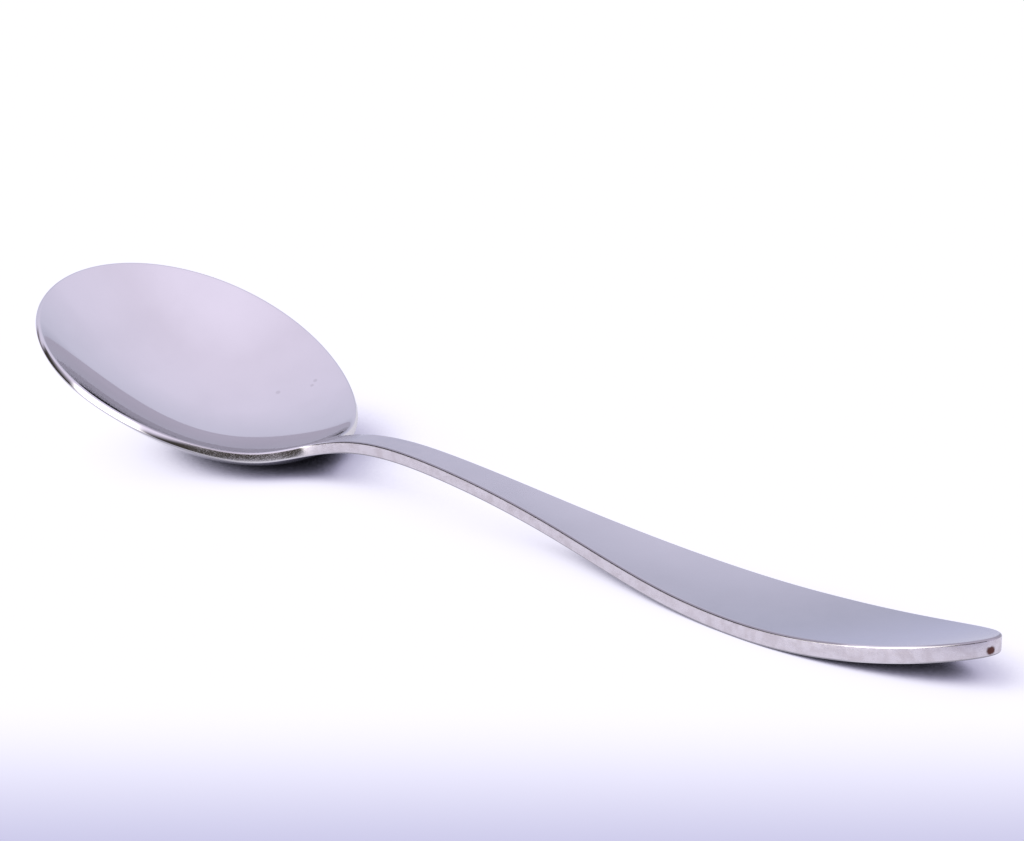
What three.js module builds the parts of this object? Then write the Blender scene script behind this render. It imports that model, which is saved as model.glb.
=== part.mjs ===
// A stainless steel soup spoon, lying on a table with the tip of its bowl raised.
// Lengths are in millimetres. X runs from the bowl's tip to the handle's end and Z is up.
// The bowl and the handle are two blanks, butt welded at the crest of the neck and polished flush.

import * as THREE from 'three';
import { LoftGeometry } from 'three/addons/geometries/LoftGeometry.js';
import { mergeVertices } from 'three/addons/utils/BufferGeometryUtils.js';

// Driving dimensions
const spoonLength = 180;
const seamX = 72;

// Bowl outline: an egg whose broad end is the tip, with filleted shoulders towards the neck
const bowlLength = 52;
const bowlHalfWidth = 23.2;
const eggSkew = 0.1;
const shoulderFillet = 1.4;
const filletFullX = 44;
const filletFadeX = 58;

// Bowl form: the rim falls from the tip towards the neck, and the hollow lies below it
const tipHeight = 23.75;
const rimFall = 0.4535;
const rimBow = 0.0012;
const bowlDepth = 10.35;
const wallEase = 0.1;
const lipRound = 0.02;

// Handle: control stations of a smooth curve, evenly spaced along X, the second one at stationStart.
// The first station lies under the bowl and only draws the neck down into it.
const stationStart = 55;
const stationStep = 25;
const handleStations = [
	{ halfWidth: 3.05, height: - 10.4 },
	{ halfWidth: 2.45, height: 9.25 },
	{ halfWidth: 2.6, height: 8.95 },
	{ halfWidth: 3.7, height: 5.85 },
	{ halfWidth: 8, height: 2.15 },
	{ halfWidth: 9.45, height: 2 },
	{ halfWidth: 9.15, height: 6.75 },
	{ halfWidth: 9.1, height: 15.6 },
];
const neckBlend = 1.25;
const roundedEndLength = 36;

// Shallow dish across the handle's top, which deepens from the seam to dishFullX
const handleDish = 0.2;
const dishFullX = 125;

// Sheet thickness and edge rounding
const tipThickness = 0.9;
const rimThickness = 1.2;
const neckThickness = 2;
const endThickness = 2.4;
const thickeningStart = 105;
const thickeningEnd = 165;
const rimEdgeRadius = 0.3;
const handleEdgeRadius = 0.35;

// Fineness of the facets
const bowlSections = 40;
const neckSections = 8;
const neckCrowding = 1.5;
const shankSections = 20;
const endSections = 20;
const bowlAcross = 22;
const handleAcross = 6;
const edgeSteps = 3;
const slopeStep = 0.01;
const weldDistance = 0.001;
const outlineHalvings = 40;

const { clamp, lerp, smoothstep } = THREE.MathUtils;

// Larger of two heights, with the crossing rounded off
function blendedMax( a, b, rounding ) {

	return ( a + b ) / 2 + Math.hypot( ( a - b ) / 2, rounding );

}

// Uniform cubic B-spline drawn by the handle's control stations
function handleCurve( x, quantity ) {

	const place = ( x - stationStart ) / stationStep;
	const first = clamp( Math.floor( place ), 0, handleStations.length - 4 );
	const s = place - first;
	const weights = [
		( 1 - s ) ** 3,
		3 * s ** 3 - 6 * s ** 2 + 4,
		- 3 * s ** 3 + 3 * s ** 2 + 3 * s + 1,
		s ** 3,
	];
	return weights.reduce( ( sum, weight, i ) => sum + weight * handleStations[ first + i ][ quantity ], 0 ) / 6;

}

// Place along the bowl, - 1 at the tip and 1 at the neck, skewed to make the outline an egg
function bowlPlace( x ) {

	const even = 2 * x / bowlLength - 1;
	return even + eggSkew * ( 1 - even ** 2 );

}

// 1 along the handle's shank, falling to 0 at the tip of its elliptical end
function endRoundness( x ) {

	const place = clamp( ( x - spoonLength + roundedEndLength ) / roundedEndLength, 0, 1 );
	return 1 - place ** 2;

}

function handleHalfWidth( x ) {

	return handleCurve( x, 'halfWidth' ) * Math.sqrt( endRoundness( x ) );

}

// How far a point lies inside the plan outline of the bowl and the neck, negative outside it
function depthInside( x, y ) {

	const egg = bowlHalfWidth / 2 * ( 1 - bowlPlace( x ) ** 2 - ( y / bowlHalfWidth ) ** 2 );
	if ( x < bowlLength / 2 ) return egg;
	const rising = smoothstep( x, bowlLength / 2, filletFullX );
	const fading = 1 - smoothstep( x, filletFadeX, seamX );
	return blendedMax( egg, handleHalfWidth( x ) - y, shoulderFillet * rising * fading );

}

// Half width of the whole plan outline, found by halving where the bowl and the neck blend
function halfWidthAt( x ) {

	if ( x >= seamX ) return handleHalfWidth( x );
	let inside = 0;
	let outside = 2 * bowlHalfWidth;
	for ( let i = 0; i < outlineHalvings; i ++ ) {

		const middle = ( inside + outside ) / 2;
		if ( depthInside( x, middle ) > 0 ) inside = middle;
		else outside = middle;

	}

	return inside;

}

// Outward normal of the plan outline on its + Y side, square to X at the seam so that its ring is flat
function outlineNormalAt( x ) {

	if ( x <= 0 ) return new THREE.Vector2( - 1, 0 );
	if ( x >= spoonLength ) return new THREE.Vector2( 1, 0 );
	if ( x === seamX ) return new THREE.Vector2( 0, 1 );
	const step = Math.min( slopeStep, x / 2, ( spoonLength - x ) / 2 );
	const slope = ( halfWidthAt( x + step ) - halfWidthAt( x - step ) ) / ( 2 * step );
	return new THREE.Vector2( - slope, 1 ).normalize();

}

// Height of the rim and of the handle's edges
function ridgeHeight( x ) {

	const rim = tipHeight - rimFall * x + rimBow * x ** 2;
	return blendedMax( rim, handleCurve( x, 'height' ), neckBlend );

}

// Depth of the bowl's hollow, with a rounded lip where it runs out at the rim and into the neck
function hollowDepth( x, y ) {

	const spread = bowlPlace( x ) ** 2 + ( y / bowlHalfWidth ) ** 2;
	return bowlDepth * blendedMax( 1 - spread, 0, lipRound / 2 ) * ( 1 - wallEase * spread );

}

// Depth of the handle's dish, which runs out at the outline
function dishDepth( x, y ) {

	if ( x <= seamX ) return 0;
	const across = endRoundness( x ) - ( y / handleCurve( x, 'halfWidth' ) ) ** 2;
	return handleDish * across * smoothstep( x, seamX, dishFullX );

}

function topHeight( x, y ) {

	return ridgeHeight( x ) - hollowDepth( x, y ) - dishDepth( x, y );

}

function topPoint( x, y ) {

	return new THREE.Vector3( x, y, topHeight( x, y ) );

}

function topNormal( x, y ) {

	const slopeX = ( topHeight( x + slopeStep, y ) - topHeight( x - slopeStep, y ) ) / ( 2 * slopeStep );
	const slopeY = ( topHeight( x, y + slopeStep ) - topHeight( x, y - slopeStep ) ) / ( 2 * slopeStep );
	return new THREE.Vector3( - slopeX, - slopeY, 1 ).normalize();

}

function thicknessAt( x ) {

	const bowl = lerp( tipThickness, rimThickness, smoothstep( x, 0, bowlLength / 2 ) );
	const handle = lerp( neckThickness, endThickness, smoothstep( x, thickeningStart, thickeningEnd ) );
	return lerp( bowl, handle, smoothstep( x, bowlLength / 2, seamX ) );

}

// Direction through the metal: square to the surface in the bowl, upright in the handle
function upThroughMetal( x, y ) {

	const upright = smoothstep( x, bowlLength, seamX );
	return topNormal( x, y ).lerp( new THREE.Vector3( 0, 0, 1 ), upright ).normalize();

}

// Thickness measured in that direction
function metalDepth( x, y ) {

	return thicknessAt( x ) / topNormal( x, y ).dot( upThroughMetal( x, y ) );

}

// Point worn flat where it would reach below the table
function worn( point ) {

	point.z = Math.max( 0, point.z );
	return point;

}

// Underside: the upper surface moved down through the metal
function undersidePoint( x, y ) {

	return worn( topPoint( x, y ).addScaledVector( upThroughMetal( x, y ), - metalDepth( x, y ) ) );

}

// Round-cornered edge face on the + Y side, from the top downwards
function flankAt( x, y, outlineNormal, radius ) {

	const top = topPoint( x, y );
	const up = upThroughMetal( x, y );
	const along = new THREE.Vector3( outlineNormal.y, - outlineNormal.x, 0 );
	along.z = - along.dot( up ) / up.z;
	const outward = up.clone().cross( along ).normalize();
	const depth = metalDepth( x, y );
	const flankPoint = ( reach, drop ) =>
		worn( top.clone().addScaledVector( outward, reach ).addScaledVector( up, - drop ) );

	const flank = [];
	for ( let i = 1; i <= edgeSteps; i ++ ) {

		const angle = i / edgeSteps * Math.PI / 2;
		flank.push( flankPoint( radius * Math.sin( angle ), radius * ( 1 - Math.cos( angle ) ) ) );

	}

	for ( let i = 0; i < edgeSteps; i ++ ) {

		const angle = i / edgeSteps * Math.PI / 2;
		flank.push( flankPoint( radius * Math.cos( angle ), depth - radius * ( 1 - Math.sin( angle ) ) ) );

	}

	return flank;

}

// Closed ring of points around the metal
function ringAt( x, across ) {

	const outlineNormal = outlineNormalAt( x );
	const radius = lerp( rimEdgeRadius, handleEdgeRadius, smoothstep( x, bowlLength, seamX ) );
	const innerX = x - radius * outlineNormal.x;
	const innerY = Math.max( 0, halfWidthAt( x ) - radius * outlineNormal.y );
	const flank = flankAt( innerX, innerY, outlineNormal, radius );

	const ring = [];
	for ( let i = 0; i <= across; i ++ ) ring.push( topPoint( innerX, innerY * ( 1 - 2 * i / across ) ) );
	ring.push( ...flank.map( ( { x, y, z } ) => new THREE.Vector3( x, - y, z ) ) );
	for ( let i = 0; i <= across; i ++ ) ring.push( undersidePoint( innerX, innerY * ( 2 * i / across - 1 ) ) );
	ring.push( ...flank.reverse() );
	return ring;

}

// Ring folded onto its middle line, each point with the opposite one, which closes a loft with a flat face
function foldedRing( ring ) {

	const box = new THREE.Box3().setFromPoints( ring );
	const middle = ( box.min.z + box.max.z ) / 2;
	const reach = box.max.y - handleEdgeRadius;
	const opposite = ring.length - 1 - 2 * edgeSteps;
	return ring.map( ( { x, y }, i ) => {

		const foldedY = ( y + ring.at( opposite - i ).y ) / 2;
		return new THREE.Vector3( x, clamp( foldedY, - reach, reach ), middle );

	} );

}

// Closed solid lofted through rings whose first and last ones are folded flat
function solid( rings ) {

	const loft = new LoftGeometry( rings );
	const shell = new THREE.BufferGeometry();
	shell.setAttribute( 'position', loft.attributes.position );
	shell.setIndex( loft.index );
	const welded = mergeVertices( shell, weldDistance );
	const corners = welded.index.array;
	const kept = [];
	for ( let i = 0; i < corners.length; i += 3 ) {

		const [ a, b, c ] = corners.slice( i, i + 3 );
		if ( a !== b && b !== c && c !== a ) kept.push( a, b, c );

	}

	welded.setIndex( kept );
	welded.computeVertexNormals();
	return welded;

}

// Bowl with the first part of the neck, from the tip to the seam
function makeBowl() {

	const rings = [];
	for ( let i = 0; i <= bowlSections; i ++ ) {

		const x = bowlLength / 2 * ( 1 - Math.cos( i / bowlSections * Math.PI ) );
		rings.push( ringAt( x, bowlAcross ) );

	}

	for ( let i = 1; i <= neckSections; i ++ ) {

		const x = lerp( bowlLength, seamX, ( i / neckSections ) ** neckCrowding );
		rings.push( ringAt( x, bowlAcross ) );

	}

	rings.push( foldedRing( rings.at( - 1 ) ) );
	const material = new THREE.MeshStandardMaterial( { color: 0xcbc9cf, metalness: 1, roughness: 0.08 } );
	const bowl = new THREE.Mesh( solid( rings ), material );
	bowl.name = 'bowl';
	return bowl;

}

// Handle, from the seam along the arched shank to the rounded end
function makeHandle() {

	const rings = [ foldedRing( ringAt( seamX, handleAcross ) ) ];
	const roundingStart = spoonLength - roundedEndLength;
	for ( let i = 0; i < shankSections; i ++ ) {

		rings.push( ringAt( lerp( seamX, roundingStart, i / shankSections ), handleAcross ) );

	}

	for ( let i = 0; i <= endSections; i ++ ) {

		const x = roundingStart + roundedEndLength * Math.sin( i / endSections * Math.PI / 2 );
		rings.push( ringAt( x, handleAcross ) );

	}

	const material = new THREE.MeshStandardMaterial( { color: 0xc6c4ca, metalness: 1, roughness: 0.14 } );
	const handle = new THREE.Mesh( solid( rings ), material );
	handle.name = 'handle';
	return handle;

}

const group = new THREE.Group();
group.name = 'soup_spoon';
group.add( makeBowl(), makeHandle() );
group.position.x = - new THREE.Box3().setFromObject( group ).getCenter( new THREE.Vector3() ).x;

export default group;
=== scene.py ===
"""A steel soup spoon on a white table, in metres, in the part's own frame.

X runs from the bowl's tip to the handle's end and Z is up from the table.
"""

import math
from types import SimpleNamespace

import bmesh
import bpy
from mathutils import Matrix, Vector


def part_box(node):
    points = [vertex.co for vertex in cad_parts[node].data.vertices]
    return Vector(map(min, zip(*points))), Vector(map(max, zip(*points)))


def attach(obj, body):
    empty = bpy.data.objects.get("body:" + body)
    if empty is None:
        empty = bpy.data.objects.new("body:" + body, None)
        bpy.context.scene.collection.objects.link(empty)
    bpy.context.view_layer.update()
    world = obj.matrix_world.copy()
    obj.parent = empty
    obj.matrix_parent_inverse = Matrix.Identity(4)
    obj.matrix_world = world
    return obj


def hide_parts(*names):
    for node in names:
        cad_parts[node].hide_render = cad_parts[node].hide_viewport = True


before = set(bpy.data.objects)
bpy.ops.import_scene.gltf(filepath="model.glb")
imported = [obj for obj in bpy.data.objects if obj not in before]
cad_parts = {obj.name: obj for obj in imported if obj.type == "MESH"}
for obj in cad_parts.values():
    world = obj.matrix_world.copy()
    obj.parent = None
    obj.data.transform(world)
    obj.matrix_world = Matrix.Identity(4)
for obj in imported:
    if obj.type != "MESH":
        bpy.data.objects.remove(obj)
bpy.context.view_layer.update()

MM = 0.001

# Places along the spoon, from the outline's tip
seam_x = 72 * MM
spoon_length = 180 * MM
tip_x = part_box("bowl")[1].x - seam_x

# Bowl outline: an egg whose broad end is the tip, with filleted shoulders towards the neck
bowl_length = 52 * MM
bowl_half_width = 23.2 * MM
egg_skew = 0.1
shoulder_fillet = 1.4 * MM
fillet_full_x = 44 * MM
fillet_fade_x = 58 * MM

# Bowl form: the rim falls from the tip towards the neck, and the hollow lies below it
tip_height = 23.75 * MM
rim_fall = 0.4535
rim_bow = 0.0012 / MM
bowl_depth = 10.35 * MM
wall_ease = 0.1
lip_round = 0.02

# Handle: control stations of a smooth curve, evenly spaced along X, the second one at station_start
station_start = 55 * MM
station_step = 25 * MM
station_half_widths = [3.05 * MM, 2.45 * MM, 2.6 * MM, 3.7 * MM, 8 * MM, 9.45 * MM, 9.15 * MM, 9.1 * MM]
station_heights = [-10.4 * MM, 9.25 * MM, 8.95 * MM, 5.85 * MM, 2.15 * MM, 2 * MM, 6.75 * MM, 15.6 * MM]
neck_blend = 1.25 * MM
rounded_end_length = 36 * MM

# Shallow dish across the handle's top, which deepens from the seam to dish_full_x
handle_dish = 0.2 * MM
dish_full_x = 125 * MM

# Sheet thickness and edge rounding
tip_thickness = 0.9 * MM
rim_thickness = 1.2 * MM
neck_thickness = 2 * MM
end_thickness = 2.4 * MM
thickening_start = 105 * MM
thickening_end = 165 * MM
rim_edge_radius = 0.3 * MM
handle_edge_radius = 0.35 * MM

# Fineness of the meshes
bowl_sections = 110
neck_sections = 40
neck_crowding = 1.5
shank_sections = 110
end_sections = 56
bowl_across = 72
handle_across = 24
edge_steps = 6
slope_step = 0.01 * MM
outline_halvings = 40
weld_distance = 0.0005 * MM

# Finishes and a painted edge reflection along the spoon: where each begins or ends, as spans from the
# outline's tip
satin_face_start = (54 * MM, 66 * MM)
finer_satin_start = (66 * MM, 115 * MM)
edge_grain_start = (40 * MM, 45 * MM)
brushed_side_start = (52.5 * MM, 55 * MM)
# Painted dark reflection on the edge's rounding: on the near lip, and along the handle, left out where the
# end's reflected highlight falls
painted_lip_reflection_start = (33 * MM, 38 * MM)
painted_lip_reflection_stop = (46 * MM, 51 * MM)
painted_shank_reflection_start = (56 * MM, 62 * MM)
painted_shank_reflection_stop = (160 * MM, 164 * MM)
painted_end_reflection_start = (170 * MM, 175 * MM)

# Finishes and the painted edge reflection across the edge: where each begins or ends, from 0 on the flat
# faces to 1 amid the side
face_stop = (0, 0.1)
side_start = (0.5, 1)
# Painted dark reflection: on the edge's rounding only
painted_reflection_across_start = (0.05, 0.3)
painted_reflection_across_stop = (0.7, 1)

# Unevenness of the steel: the noise's scale along each axis, and its detail
smudge_noise = ((90, 90, 90), 4)
grain_noise = ((120, 5000, 5000), 2)
cloud_noise = ((700, 700, 700), 4)
fleck_noise = ((3500, 3500, 6000), 2)

# Roughness of each finish: a span of its noise, and the roughness at both ends of the span
polish_roughness = ((0.35, 0.75), (0.04, 0.08))
neck_satin_roughness = ((0.3, 0.7), (0.36, 0.44))
end_satin_roughness = ((0.3, 0.7), (0.15, 0.2))
rim_grain_roughness = ((0.4, 0.7), (0.19, 0.3))
brushed_roughness = ((0.3, 0.7), (0.26, 0.42))
brushed_bump = 0.25
brushed_bump_height = 0.02 * MM

# Steel colours, and the spans of noise over which they change
steel_color = (0.59, 0.578, 0.6, 1)
worn_steel_color = (0.56, 0.548, 0.57, 1)
wear_span = (0.3, 0.8)
grazing_tint = (0.9, 0.9, 0.9, 1)
rim_grain_color = (0.62, 0.605, 0.6, 1)
brushed_color = (0.645, 0.61, 0.645, 1)
dull_brushed_color = (0.56, 0.52, 0.545, 1)
dulling_span = (0.35, 0.7)
# Painted dark reflection of the dark room on the edge's rounding: its colour, and its strength on the handle
# and on the near lip
painted_reflection_color = (0.2, 0.19, 0.21, 1)
painted_reflection_strength = 0.75
painted_lip_reflection_strength = 0.55

# Small marks: specks in the bowl and a ragged dark brown spot low on the handle's end, from the outline's
# tip
speck_spots = [
    ((32.4 * MM, 17.75 * MM, 7.5 * MM), 0.45 * MM),
    ((32.6 * MM, 16.9 * MM, 6.9 * MM), 0.4 * MM),
    ((28.4 * MM, 13.4 * MM, 5.6 * MM), 0.5 * MM),
]
speck_color = (0.068, 0.06, 0.052, 1)
speck_strength = 0.15
brown_spot = (179.8 * MM, -1.05 * MM, 5.7 * MM)
brown_spot_radius = 0.75 * MM
brown_spot_raggedness = ((0.3, 0.7), (0.75, 1.35))
brown_spot_color = (0.1, 0.045, 0.04, 1)
mark_core = 0.5

# Camera
camera_azimuth = math.radians(44.6027)
camera_elevation = math.radians(16.4509)
camera_roll = math.radians(0.3276)
camera_distance = 521.81 * MM
camera_target = Vector((tip_x + 69.617 * MM, 24.497 * MM, 7.376 * MM))
focal_pixels = 3419.4
image_width_pixels = 1024
sensor_width_mm = 36
away = Vector((-math.sin(camera_azimuth), math.cos(camera_azimuth), 0))
rightward = Vector((math.cos(camera_azimuth), math.sin(camera_azimuth), 0))

# Studio cards: nearest distance, step outwards, fineness, and fading in degrees of turn and share of height
card_distance = 1.5
card_spacing = 0.1
card_steps = 24
card_side_fade = 10
card_top_fade = 0.4

# Card colours and strengths
bright_color = (1.0, 0.98, 0.95, 1)
bright_strength = 3.5
dark_color = (0.068, 0.06, 0.052, 1)
brown_color = (0.16, 0.12, 0.11, 1)
dim_strength = 1.0

# Each card's name, order from the spoon outwards, turns and elevations in degrees, colour and strength
studio_cards = [
    ("window_card", 0, (-146, -99), (3, 55), bright_color, bright_strength),
    ("side_card", 1, (-109, -62), (3, 40), dark_color, dim_strength),
    ("camera_card", 1, (-215, -136), (0, 34), dark_color, dim_strength),
    ("left_card", 2, (-83, -45), (0, 24), brown_color, dim_strength),
]

# Table: its size, its gap below the spoon, and its colours, with a painted shade that turns it lilac in
# front of the spoon
table_half_size = 2.5
table_gap = 0.02 * MM
table_color = (0.98, 0.98, 0.97, 1)
table_seen_color = (1.02, 1.0, 1.14, 1)
painted_front_shade_color = (0.54, 0.53, 0.77, 1)
painted_front_shade_start = 98 * MM
painted_front_shade_end = 160 * MM

# Painted shadow of the spoon on the table, by the share of a light's direction that the spoon leaves open
shadow_samples = 20
painted_high_shadow_stops = [
    (0.16, (0.006, 0.006, 0.007, 1)),
    (0.24, (0.15, 0.15, 0.16, 1)),
    (0.31, (0.51, 0.5, 0.55, 1)),
    (0.39, (0.77, 0.76, 0.78, 1)),
    (0.53, (0.91, 0.905, 0.91, 1)),
    (0.75, (0.965, 0.965, 0.965, 1)),
    (1.0, (1.0, 1.0, 1.0, 1)),
]
painted_low_shadow_stops = [
    (0.55, (0.5, 0.49, 0.58, 1)),
    (0.66, (0.7, 0.69, 0.77, 1)),
    (0.76, (0.94, 0.935, 0.95, 1)),
    (0.84, (1.0, 1.0, 1.0, 1)),
]

# Directions of the painted shadows, with no lamp in them: turn and elevation in degrees, reach of the shade,
# and its colours
painted_shadow_directions = [
    (-120, 64, 9 * MM, painted_high_shadow_stops),
    (-100, 5, 30 * MM, painted_low_shadow_stops),
]

# Sky colours by the cosine of the angle from straight away from the camera
sky_strength = 1.4
sky_stops = [
    (-0.3, (0.96, 0.89, 1.07, 1)),
    (0.0, (0.83, 0.77, 0.93, 1)),
    (0.5, (0.78, 0.74, 0.9, 1)),
    (0.85, (0.65, 0.64, 0.785, 1)),
    (0.93, (0.52, 0.52, 0.65, 1)),
    (0.97, (0.455, 0.465, 0.59, 1)),
    (1.0, (0.53, 0.54, 0.73, 1)),
]


def blended_max(a, b, rounding):
    """Larger of two values, with the crossing rounded off."""
    return (a + b) / 2 + math.hypot((a - b) / 2, rounding)


def clamp(value, low, high):
    return max(low, min(high, value))


def smoothstep(x, start, end):
    t = clamp((x - start) / (end - start), 0, 1)
    return t * t * (3 - 2 * t)


def lerp(a, b, t):
    return a + (b - a) * t


def handle_curve(x, stations):
    """Uniform cubic B-spline guided by the handle's control stations."""
    place = (x - station_start) / station_step
    first = int(clamp(math.floor(place), 0, len(stations) - 4))
    t = place - first
    weights = [
        (1 - t) ** 3,
        3 * t**3 - 6 * t**2 + 4,
        -3 * t**3 + 3 * t**2 + 3 * t + 1,
        t**3,
    ]
    return sum(weight * stations[first + i] for i, weight in enumerate(weights)) / 6


def bowl_place(x):
    """Place along the bowl, -1 at the tip and 1 at the neck, skewed to make the outline an egg."""
    even = 2 * x / bowl_length - 1
    return even + egg_skew * (1 - even**2)


def end_roundness(x):
    """1 along the handle's shank, falling to 0 at the tip of its elliptical end."""
    place = clamp((x - spoon_length + rounded_end_length) / rounded_end_length, 0, 1)
    return 1 - place**2


def handle_half_width(x):
    return handle_curve(x, station_half_widths) * math.sqrt(end_roundness(x))


def depth_inside(x, y):
    """How far a point lies inside the plan outline of the bowl and the neck, negative outside it."""
    egg = bowl_half_width / 2 * (1 - bowl_place(x) ** 2 - (y / bowl_half_width) ** 2)
    if x < bowl_length / 2:
        return egg
    rising = smoothstep(x, bowl_length / 2, fillet_full_x)
    fading = 1 - smoothstep(x, fillet_fade_x, seam_x)
    return blended_max(egg, handle_half_width(x) - y, shoulder_fillet * rising * fading)


def half_width_at(x):
    """Half width of the whole plan outline, found by halving where the bowl and the neck blend."""
    if x >= seam_x:
        return handle_half_width(x)
    inside = 0
    outside = 2 * bowl_half_width
    for _ in range(outline_halvings):
        middle = (inside + outside) / 2
        if depth_inside(x, middle) > 0:
            inside = middle
        else:
            outside = middle
    return inside


def outline_normal_at(x):
    """Outward normal of the plan outline on its +Y side."""
    if x <= 0:
        return Vector((-1, 0))
    if x >= spoon_length:
        return Vector((1, 0))
    if x == seam_x:
        return Vector((0, 1))
    step = min(slope_step, x / 2, (spoon_length - x) / 2)
    slope = (half_width_at(x + step) - half_width_at(x - step)) / (2 * step)
    return Vector((-slope, 1)).normalized()


def ridge_height(x):
    """Height of the rim and of the handle's edges."""
    rim = tip_height - rim_fall * x + rim_bow * x**2
    return blended_max(rim, handle_curve(x, station_heights), neck_blend)


def hollow_depth(x, y):
    """Depth of the bowl's hollow, with a rounded lip at the rim and the neck."""
    spread = bowl_place(x) ** 2 + (y / bowl_half_width) ** 2
    return bowl_depth * blended_max(1 - spread, 0, lip_round / 2) * (1 - wall_ease * spread)


def dish_depth(x, y):
    """Depth of the handle's dish, which runs out at the outline."""
    if x <= seam_x:
        return 0
    across = end_roundness(x) - (y / handle_curve(x, station_half_widths)) ** 2
    return handle_dish * across * smoothstep(x, seam_x, dish_full_x)


def top_height(x, y):
    return ridge_height(x) - hollow_depth(x, y) - dish_depth(x, y)


def top_point(x, y):
    return Vector((x, y, top_height(x, y)))


def top_normal(x, y):
    slope_x = (top_height(x + slope_step, y) - top_height(x - slope_step, y)) / (2 * slope_step)
    slope_y = (top_height(x, y + slope_step) - top_height(x, y - slope_step)) / (2 * slope_step)
    return Vector((-slope_x, -slope_y, 1)).normalized()


def thickness_at(x):
    bowl = lerp(tip_thickness, rim_thickness, smoothstep(x, 0, bowl_length / 2))
    handle = lerp(neck_thickness, end_thickness, smoothstep(x, thickening_start, thickening_end))
    return lerp(bowl, handle, smoothstep(x, bowl_length / 2, seam_x))


def up_through_metal(x, y):
    """Direction through the metal: square to the surface in the bowl, upright in the handle."""
    upright = smoothstep(x, bowl_length, seam_x)
    return top_normal(x, y).lerp(Vector((0, 0, 1)), upright).normalized()


def metal_depth(x, y):
    """Thickness measured in that direction."""
    return thickness_at(x) / top_normal(x, y).dot(up_through_metal(x, y))


def worn(point):
    """Point worn flat where it would reach below the table."""
    point.z = max(0, point.z)
    return point


def underside_point(x, y):
    """Point of the upper surface moved down through the metal."""
    return worn(top_point(x, y) - up_through_metal(x, y) * metal_depth(x, y))


def flank_at(x, y, outline_normal, radius):
    """Round-cornered edge face on the +Y side, from the top downwards."""
    top = top_point(x, y)
    up = up_through_metal(x, y)
    along = Vector((outline_normal.y, -outline_normal.x, 0))
    along.z = -along.dot(up) / up.z
    outward = up.cross(along).normalized()
    depth = metal_depth(x, y)
    angles = [i / edge_steps * math.pi / 2 for i in range(edge_steps + 1)]
    upper = [(radius * math.sin(a), radius * (1 - math.cos(a))) for a in angles[1:]]
    lower = [(radius * math.cos(a), depth - radius * (1 - math.sin(a))) for a in angles[:-1]]
    return [worn(top + outward * reach - up * drop) for reach, drop in upper + lower]


def ring_at(x, across):
    """Closed ring of points around the metal, crowded towards its edges."""
    outline_normal = outline_normal_at(x)
    radius = lerp(rim_edge_radius, handle_edge_radius, smoothstep(x, bowl_length, seam_x))
    inner_x = x - radius * outline_normal.x
    inner_y = max(0, half_width_at(x) - radius * outline_normal.y)
    flank = flank_at(inner_x, inner_y, outline_normal, radius)
    places = [inner_y * math.cos(i / across * math.pi) for i in range(across + 1)]
    ring = [top_point(inner_x, y) for y in places]
    ring += [Vector((point.x, -point.y, point.z)) for point in flank]
    ring += [underside_point(inner_x, y) for y in reversed(places)]
    ring += reversed(flank)
    return ring


def bowl_places():
    """Places of the bowl's rings, from the tip to the seam."""
    rim = [bowl_length / 2 * (1 - math.cos(i / bowl_sections * math.pi)) for i in range(bowl_sections + 1)]
    steps = [(i / neck_sections) ** neck_crowding for i in range(1, neck_sections + 1)]
    return rim + [lerp(bowl_length, seam_x, step) for step in steps]


def handle_places():
    """Places of the handle's rings, from the seam to the rounded end."""
    rounding_start = spoon_length - rounded_end_length
    shank = [lerp(seam_x, rounding_start, i / shank_sections) for i in range(shank_sections)]
    end = [
        rounding_start + rounded_end_length * math.sin(i / end_sections * math.pi / 2)
        for i in range(end_sections + 1)
    ]
    return shank + end


def edge_zone(across):
    """How far into the edge face each point of a ring lies, 0 on the flat faces and 1 in its middle."""
    rising = [i / edge_steps for i in range(1, edge_steps + 1)]
    flank = rising + rising[::-1]
    return [0] * (across + 1) + flank + [0] * (across + 1) + flank


def add_object(name, data):
    """Object that shows a mesh or a camera in the scene."""
    added = bpy.data.objects.new(name, data)
    bpy.context.scene.collection.objects.link(added)
    return added


def lofted_piece(name, places, across, seam_ring):
    """Closed smooth mesh through rings at the given places, with a flat face across the seam ring."""
    rings = [ring_at(x, across) for x in places]
    count = len(rings[0])
    points = [point + Vector((tip_x, 0, 0)) for ring in rings for point in ring]
    faces = []
    for i in range(len(rings) - 1):
        for j in range(count):
            k = (j + 1) % count
            faces.append((i * count + j, i * count + k, (i + 1) * count + k, (i + 1) * count + j))
    mesh = bpy.data.meshes.new(name)
    mesh.from_pydata(points, [], faces)
    edge = mesh.attributes.new("edge", "FLOAT", "POINT")
    edge.data.foreach_set("value", edge_zone(across) * len(rings))
    finish_mesh(mesh, [seam_ring * count + j for j in range(count)])
    return add_object(name, mesh)


def finish_mesh(mesh, seam_points):
    """Welds the mesh, closes its seam, and shades it smooth apart from the seam's edge."""
    work = bmesh.new()
    work.from_mesh(mesh)
    work.verts.ensure_lookup_table()
    cap = work.faces.new([work.verts[i] for i in seam_points])
    for edge in cap.edges:
        edge.smooth = False
    bmesh.ops.remove_doubles(work, verts=work.verts, dist=weld_distance)
    bmesh.ops.dissolve_degenerate(work, edges=work.edges, dist=weld_distance)
    bmesh.ops.recalc_face_normals(work, faces=work.faces)
    for face in work.faces:
        face.smooth = True
    work.to_mesh(mesh)
    work.free()


def make_bowl():
    places = bowl_places()
    return lofted_piece("polished_bowl", places, bowl_across, len(places) - 1)


def make_handle():
    return lofted_piece("satin_handle", handle_places(), handle_across, 0)


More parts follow.
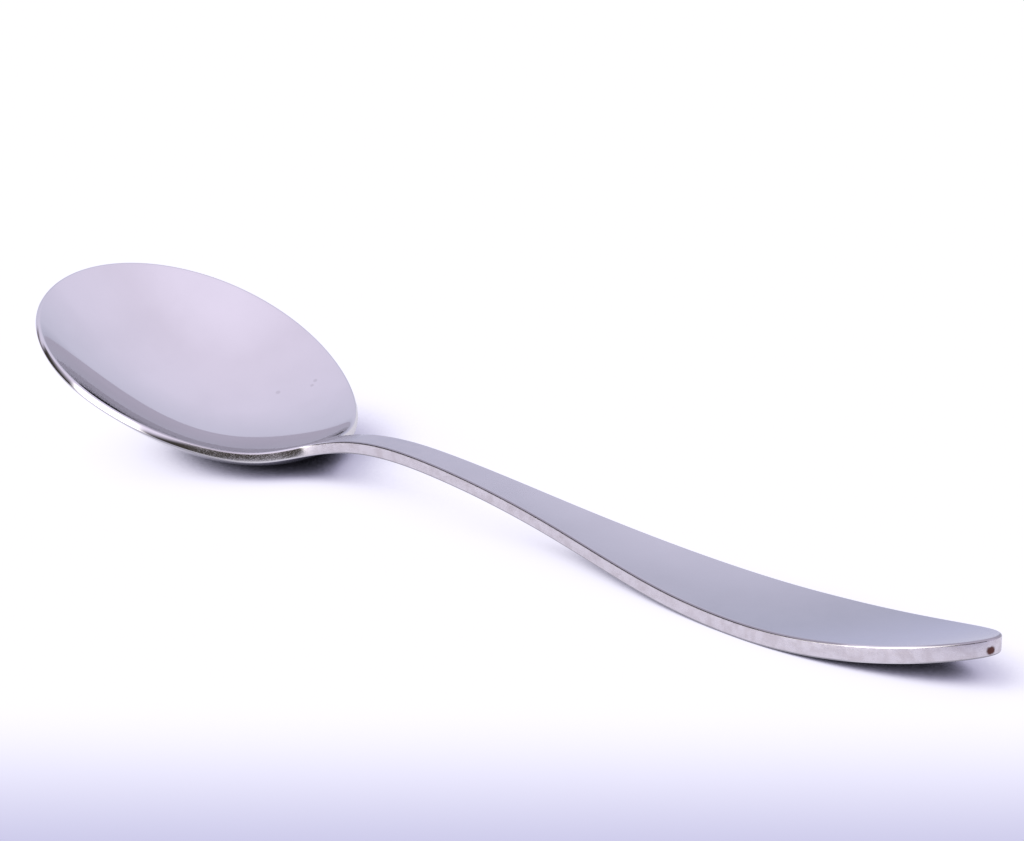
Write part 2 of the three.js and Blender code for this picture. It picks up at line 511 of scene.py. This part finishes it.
class Graph:
    """Short way to add and link shader nodes."""

    def __init__(self, tree):
        self.tree = tree
        tree.nodes.clear()

    def add(self, kind, inputs=None, **settings):
        """Node with its settings, and its inputs linked or set."""
        node = self.tree.nodes.new(kind)
        for name, value in settings.items():
            setattr(node, name, value)
        for name, value in (inputs or {}).items():
            self.set(node.inputs[name], value)
        return node

    def set(self, socket, value):
        if isinstance(value, bpy.types.NodeSocket):
            self.tree.links.new(value, socket)
        else:
            socket.default_value = value

    def math(self, operation, a, b):
        return self.add("ShaderNodeMath", {0: a, 1: b}, operation=operation).outputs[0]

    def times(self, a, b):
        return self.math("MULTIPLY", a, b)

    def vectors(self, operation, a, b):
        """Outputs of a vector operation, its Vector or its Value."""
        return self.add("ShaderNodeVectorMath", {0: a, 1: b}, operation=operation).outputs

    def fade(self, value, span, ends=(0, 1), kind="SMOOTHSTEP"):
        """Passes from one end to the other while a value crosses a span."""
        start, stop = span
        low, high = ends
        inputs = {"Value": value, "From Min": start, "From Max": stop, "To Min": low, "To Max": high}
        return self.add("ShaderNodeMapRange", inputs, interpolation_type=kind).outputs[0]

    def between(self, value, start, stop):
        """1 between two spans, fading in over the first and out over the second."""
        return self.times(self.fade(value, start), self.fade(value, stop, (1, 0)))

    def blend(self, mask, a, b):
        """Passes from a to b as a mask rises from 0 to 1."""
        return self.fade(mask, (0, 1), (a, b))

    def noise(self, place, scales, detail):
        scaled = self.add("ShaderNodeMapping", {"Vector": place, "Scale": scales}).outputs[0]
        return self.add("ShaderNodeTexNoise", {"Vector": scaled, "Scale": 1.0, "Detail": detail}).outputs[0]

    def mix(self, factor, a, b):
        """Colour between two others."""
        inputs = {"Factor": factor, "A": a, "B": b}
        return self.add("ShaderNodeMix", inputs, data_type="RGBA").outputs["Result"]

    def ramp(self, value, stops):
        """Colour that follows a value through a list of (value, colour) stops."""
        first = stops[0][0]
        last = stops[-1][0]
        share = self.fade(value, (first, last), kind="LINEAR")
        node = self.add("ShaderNodeValToRGB", {"Fac": share})
        elements = node.color_ramp.elements
        while len(elements) < len(stops):
            elements.new(0.5)
        for element, (stop, color) in zip(elements, stops):
            element.position = (stop - first) / (last - first)
            element.color = color
        return node.outputs["Color"]


def new_material(name):
    """Empty material and the graph of its nodes."""
    material = bpy.data.materials.new(name)
    material.use_nodes = True
    return material, Graph(material.node_tree)


def painted_edge_reflection(graph, along, across):
    """Strength of the painted dark reflection on the edge's rounding along the spoon: on the near lip, the
    shank and the handle's end.
    """
    near_side = graph.math("LESS_THAN", across, 0)
    lip = graph.times(graph.between(along, painted_lip_reflection_start, painted_lip_reflection_stop), near_side)
    shank = graph.between(along, painted_shank_reflection_start, painted_shank_reflection_stop)
    handle = graph.math("ADD", shank, graph.fade(along, painted_end_reflection_start))
    return graph.math("ADD", graph.times(handle, painted_reflection_strength), graph.times(lip, painted_lip_reflection_strength))


def steel_zones(graph, from_tip):
    """Place along the spoon, masks for where each finish lies, and where the painted dark reflection lies on
    the edges.
    """
    axes = graph.add("ShaderNodeSeparateXYZ", {"Vector": from_tip}).outputs
    along = axes["X"]
    edge = graph.add("ShaderNodeAttribute", attribute_name="edge").outputs["Fac"]
    rounding = graph.between(edge, painted_reflection_across_start, painted_reflection_across_stop)
    return SimpleNamespace(
        along=along,
        face=graph.times(graph.fade(along, satin_face_start), graph.fade(edge, face_stop, (1, 0))),
        side=graph.times(graph.fade(along, edge_grain_start), graph.fade(edge, side_start)),
        brushed=graph.fade(along, brushed_side_start),
        bevel=graph.times(painted_edge_reflection(graph, along, axes["Y"]), rounding),
    )


def steel_noises(graph, place):
    """Unevenness of the finishes."""
    return SimpleNamespace(
        smudge=graph.noise(place, *smudge_noise),
        grain=graph.noise(place, *grain_noise),
        cloud=graph.noise(place, *cloud_noise),
        fleck=graph.noise(place, *fleck_noise),
    )


def steel_roughness(graph, zones, noises):
    """Polish in the bowl, satin on the handle's faces, and grain on the rim's edge and the sides."""
    polish = graph.fade(noises.smudge, *polish_roughness)
    neck_satin = graph.fade(noises.cloud, *neck_satin_roughness)
    end_satin = graph.fade(noises.cloud, *end_satin_roughness)
    satin = graph.fade(zones.along, finer_satin_start, (neck_satin, end_satin))
    rim_grain = graph.fade(noises.fleck, *rim_grain_roughness)
    brushed = graph.fade(noises.grain, *brushed_roughness)
    faces = graph.blend(zones.face, polish, satin)
    return graph.blend(zones.side, faces, graph.blend(zones.brushed, rim_grain, brushed))


def steel_tone(graph, zones, noises):
    """Colour of the unmarked metal, with the painted dark reflection on the edge's rounding."""
    plain = graph.mix(graph.fade(noises.smudge, wear_span), steel_color, worn_steel_color)
    brushed = graph.mix(graph.fade(noises.cloud, dulling_span), brushed_color, dull_brushed_color)
    sides = graph.mix(zones.brushed, rim_grain_color, brushed)
    return graph.mix(zones.bevel, graph.mix(zones.side, plain, sides), painted_reflection_color)


def mark_mask(graph, from_tip, spot, radius):
    """1 within a small round mark, fading to 0 at its radius."""
    distance = graph.vectors("DISTANCE", from_tip, spot)["Value"]
    return graph.fade(graph.math("DIVIDE", distance, radius), (mark_core, 1), (1, 0))


def marked(graph, color, from_tip, cloud):
    """Colour with the bowl's specks and the handle's dark brown spot."""
    for spot, radius in speck_spots:
        speck = mark_mask(graph, from_tip, spot, radius)
        color = graph.mix(graph.times(speck, speck_strength), color, speck_color)
    ragged_radius = graph.times(graph.fade(cloud, *brown_spot_raggedness), brown_spot_radius)
    brown_spot_mask = mark_mask(graph, from_tip, brown_spot, ragged_radius)
    return graph.mix(brown_spot_mask, color, brown_spot_color)


def brushed_normal(graph, side, grain):
    """Fine ridges along the sides."""
    strength = graph.blend(side, 0.0, brushed_bump)
    inputs = {"Strength": strength, "Distance": brushed_bump_height, "Height": grain}
    return graph.add("ShaderNodeBump", inputs).outputs["Normal"]


def steel_material(name):
    """Steel with its finishes and small marks."""
    material, graph = new_material(name)
    place = graph.add("ShaderNodeTexCoord").outputs["Object"]
    from_tip = graph.vectors("SUBTRACT", place, (tip_x, 0, 0))["Vector"]
    zones = steel_zones(graph, from_tip)
    noises = steel_noises(graph, place)
    shader = graph.add(
        "ShaderNodeBsdfPrincipled",
        {
            "Base Color": marked(graph, steel_tone(graph, zones, noises), from_tip, noises.cloud),
            "Metallic": 1.0,
            "Specular Tint": grazing_tint,
            "Roughness": steel_roughness(graph, zones, noises),
            "Normal": brushed_normal(graph, zones.side, noises.grain),
        },
    )
    graph.add("ShaderNodeOutputMaterial", {"Surface": shader.outputs["BSDF"]})
    return material


def dress(piece, node, slot):
    """Gives a piece its steel, named after its slot, and its body, and hides the CAD node that it stands
    for.
    """
    piece.data.materials.append(steel_material(slot))
    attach(piece, "root")
    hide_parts(node)


def studio_direction(turn, elevation):
    """Direction at a turn to the right of straight away from the camera, and an elevation, in degrees."""
    turn = math.radians(turn)
    elevation = math.radians(elevation)
    level = away * math.cos(turn) + rightward * math.sin(turn)
    return level * math.cos(elevation) + Vector((0, 0, math.sin(elevation)))


def card_material(name, color, strength):
    """Light of one colour that fades out with the card's cover."""
    material, graph = new_material(name)
    cover = graph.add("ShaderNodeAttribute", attribute_name="cover").outputs["Fac"]
    glow = graph.add("ShaderNodeEmission", {"Color": color, "Strength": strength}).outputs[0]
    clear = graph.add("ShaderNodeBsdfTransparent").outputs[0]
    surface = graph.add("ShaderNodeMixShader", {0: cover, 1: clear, 2: glow})
    graph.add("ShaderNodeOutputMaterial", {"Surface": surface.outputs[0]})
    return material


def card_points(turns, elevations, distance):
    """Points of a curved card, row by row from the bottom, and how far each covers what lies behind."""
    left, right = turns
    bottom, top = elevations
    steps = [i / card_steps for i in range(card_steps + 1)]
    points = []
    cover = []
    for up in steps:
        for along in steps:
            turn = lerp(left, right, along)
            points.append(studio_direction(turn, lerp(bottom, top, up)) * distance)
            from_side = min(turn - left, right - turn)
            cover.append(smoothstep(from_side, 0, card_side_fade) * smoothstep(1 - up, 0, card_top_fade))
    return points, cover


def make_card(name, order, turns, elevations, color, strength):
    """Curved card between two turns and two elevations, hidden from the camera."""
    points, cover = card_points(turns, elevations, card_distance + order * card_spacing)
    row = card_steps + 1
    corners = [i * row + j for i in range(card_steps) for j in range(card_steps)]
    mesh = bpy.data.meshes.new(name)
    mesh.from_pydata(points, [], [(k, k + 1, k + row + 1, k + row) for k in corners])
    mesh.attributes.new("cover", "FLOAT", "POINT").data.foreach_set("value", cover)
    mesh.materials.append(card_material(name, color, strength))
    card = add_object(name, mesh)
    card.visible_camera = False


def make_cards():
    """Dark and bright cards that draw the lines along the near edges."""
    for card in studio_cards:
        make_card(*card)


def make_table():
    """White table just below the spoon."""
    half = table_half_size
    outline = [(-half, -half), (half, -half), (half, half), (-half, half)]
    mesh = bpy.data.meshes.new("table")
    mesh.from_pydata([(x, y, -table_gap) for x, y in outline], [], [(0, 1, 2, 3)])
    mesh.materials.append(table_material())
    table = add_object("table", mesh)


def with_painted_shadow(graph, color, toward_light, reach, stops):
    """Colour with a painted shadow, darkened where the spoon hides part of the view towards a light's
    direction.
    """
    normal = graph.add("ShaderNodeCombineXYZ", dict(zip("XYZ", toward_light))).outputs[0]
    inputs = {"Distance": reach, "Normal": normal}
    share = graph.add("ShaderNodeAmbientOcclusion", inputs, samples=shadow_samples).outputs["AO"]
    return graph.vectors("MULTIPLY", color, graph.ramp(share, stops))["Vector"]


def seen_table_color(graph):
    """White, with a painted shade that turns it lilac towards the front, and the spoon's painted shadow."""
    place = graph.add("ShaderNodeTexCoord").outputs["Object"]
    nearer = graph.vectors("DOT_PRODUCT", place, -away)["Value"]
    middle = camera_target.dot(-away)
    front = graph.fade(nearer, (middle + painted_front_shade_start, middle + painted_front_shade_end))
    color = graph.mix(front, table_seen_color, painted_front_shade_color)
    for turn, elevation, reach, stops in painted_shadow_directions:
        color = with_painted_shadow(graph, color, studio_direction(turn, elevation), reach, stops)
    return color


def table_material():
    """White that the camera and the reflections see evenly lit, apart from the painted front shade and the
    spoon's painted shadow.
    """
    material, graph = new_material("table_white")
    seen = graph.add("ShaderNodeEmission", {"Color": seen_table_color(graph)}).outputs[0]
    plain = graph.add("ShaderNodeBsdfDiffuse", {"Color": table_color}).outputs[0]
    path = graph.add("ShaderNodeLightPath").outputs
    mirrored = graph.math("MAXIMUM", path["Is Glossy Ray"], path["Is Transmission Ray"])
    shown = graph.math("MAXIMUM", path["Is Camera Ray"], mirrored)
    surface = graph.add("ShaderNodeMixShader", {0: shown, 1: plain, 2: seen})
    graph.add("ShaderNodeOutputMaterial", {"Surface": surface.outputs[0]})
    return material


def make_sky():
    """Soft lilac light that darkens straight ahead of the camera."""
    world = bpy.data.worlds.new("studio")
    bpy.context.scene.world = world
    world.use_nodes = True
    graph = Graph(world.node_tree)
    direction = graph.add("ShaderNodeTexCoord").outputs["Generated"]
    ahead = graph.vectors("DOT_PRODUCT", direction, away)["Value"]
    inputs = {"Color": graph.ramp(ahead, sky_stops), "Strength": sky_strength}
    glow = graph.add("ShaderNodeBackground", inputs)
    graph.add("ShaderNodeOutputWorld", {"Surface": glow.outputs[0]})


def make_camera():
    """Camera that looks at its target, rolled a little about its own axis."""
    back = -away * math.cos(camera_elevation) + Vector((0, 0, math.sin(camera_elevation)))
    level_up = back.cross(rightward)
    right = rightward * math.cos(camera_roll) + level_up * math.sin(camera_roll)
    turn = Matrix((right, back.cross(right), back)).transposed().to_4x4()
    data = bpy.data.cameras.new("camera")
    data.sensor_fit = "HORIZONTAL"
    data.sensor_width = sensor_width_mm
    data.lens = sensor_width_mm * focal_pixels / image_width_pixels
    camera = add_object("camera", data)
    camera.matrix_world = Matrix.Translation(camera_target + back * camera_distance) @ turn
    bpy.context.scene.camera = camera


make_camera()
dress(make_bowl(), "bowl", "bowl_steel")
dress(make_handle(), "handle", "handle_steel")
make_table()
make_sky()
make_cards()

bpy.context.scene.view_settings.view_transform = "Standard"
